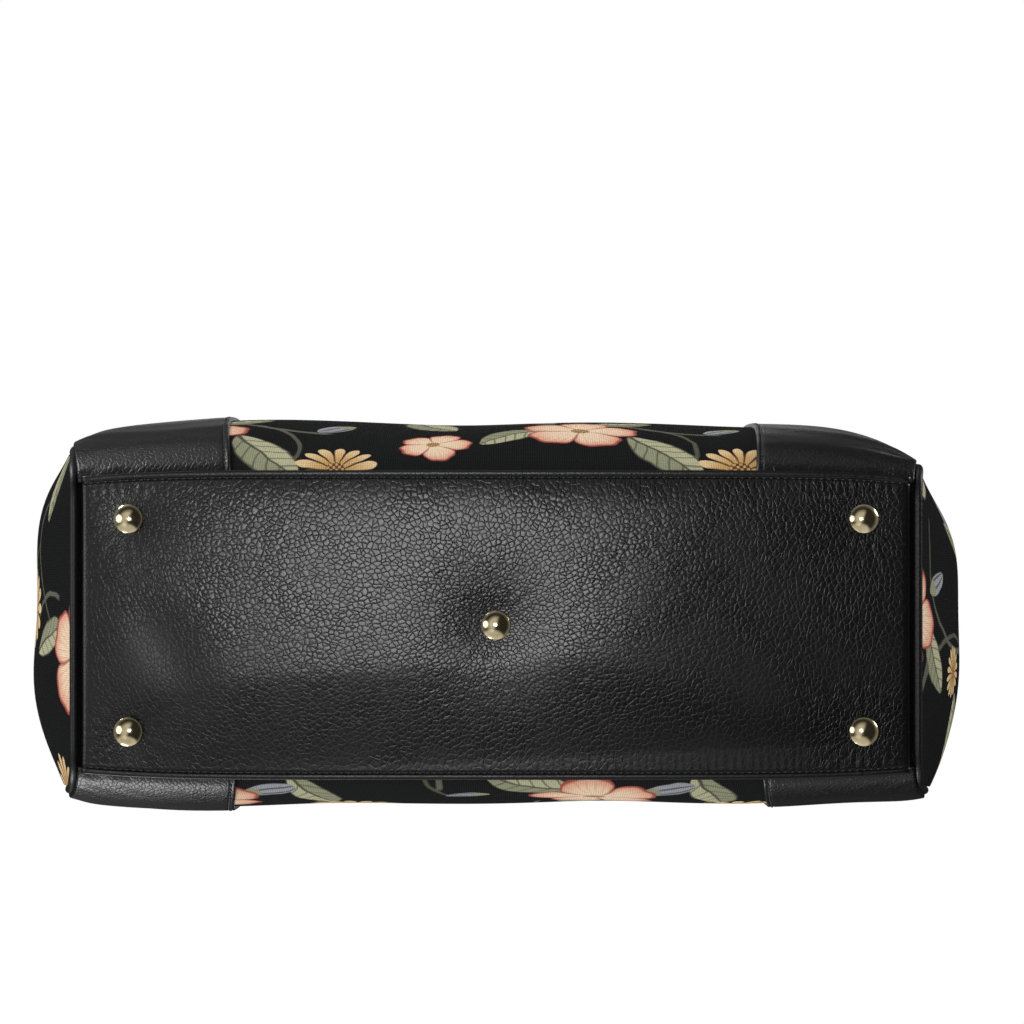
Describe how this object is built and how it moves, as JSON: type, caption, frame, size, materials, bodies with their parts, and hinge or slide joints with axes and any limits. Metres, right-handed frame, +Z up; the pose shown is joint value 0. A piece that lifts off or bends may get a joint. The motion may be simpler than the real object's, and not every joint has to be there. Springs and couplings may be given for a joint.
{
  "type": "tote bag",
  "caption": "Soft tote bag with a leather base on dome feet, printed canvas walls with leather bands, piped gussets and rolled handles on swinging rings.",
  "frame": {"origin": "centre of the footprint, on the surface that the feet stand on", "axes": "+Z up, X along the bag's length, the front wall towards -Y"},
  "size_m": [0.438, 0.1852, 0.481],
  "materials": {
    "base_leather": "pebbled black leather",
    "trim_leather": "fine grained black leather",
    "printed_canvas": "black canvas with a printed floral pattern",
    "lining_cloth": "plain cotton",
    "board": "stiff fibre board",
    "pale_gold": "polished pale gold plate",
    "steel": "plain"
  },
  "bodies": {
    "bag": {"base_panel": "base_leather", "base_board": "board", "foot_washers": "steel", "lining": "lining_cloth", "snap_socket": "pale_gold", "snap_stud": "pale_gold", "foot_front_left": "pale_gold", "foot_front_right": "pale_gold", "foot_back_left": "pale_gold", "foot_back_right": "pale_gold", "foot_centre": "pale_gold", "front_panel": "printed_canvas", "front_top_binding": "trim_leather", "back_panel": "printed_canvas", "back_top_binding": "trim_leather", "left_gusset": "printed_canvas", "left_piping": "trim_leather", "left_top_binding": "trim_leather", "right_gusset": "printed_canvas", "right_piping": "trim_leather", "right_top_binding": "trim_leather", "front_left_band": "trim_leather", "front_left_tab": "trim_leather", "front_right_band": "trim_leather", "front_right_tab": "trim_leather", "back_left_band": "trim_leather", "back_left_tab": "trim_leather", "back_right_band": "trim_leather", "back_right_tab": "trim_leather"},
    "front_rings": {"front_left_ring": "pale_gold", "front_right_ring": "pale_gold"},
    "front_handle": {"front_handle": "trim_leather"},
    "back_rings": {"back_left_ring": "pale_gold", "back_right_ring": "pale_gold"},
    "back_handle": {"back_handle": "trim_leather"}
  },
  "joints": [
    {"name": "front_ring_swing", "type": "hinge", "parent": "bag", "child": "front_rings", "pos_m": [0, -0.06637, 0.2975], "axis": [1, 0, 0], "range_deg": [0, 124]},
    {"name": "front_handle_swing", "type": "hinge", "parent": "front_rings", "child": "front_handle", "pos_m": [0, -0.06156, 0.31171], "axis": [1, 0, 0], "range_deg": [0, 64]},
    {"name": "back_ring_swing", "type": "hinge", "parent": "bag", "child": "back_rings", "pos_m": [0, 0.06637, 0.2975], "axis": [-1, 0, 0], "range_deg": [0, 124]},
    {"name": "back_handle_swing", "type": "hinge", "parent": "back_rings", "child": "back_handle", "pos_m": [0, 0.06156, 0.31171], "axis": [-1, 0, 0], "range_deg": [0, 64]}
  ]
}
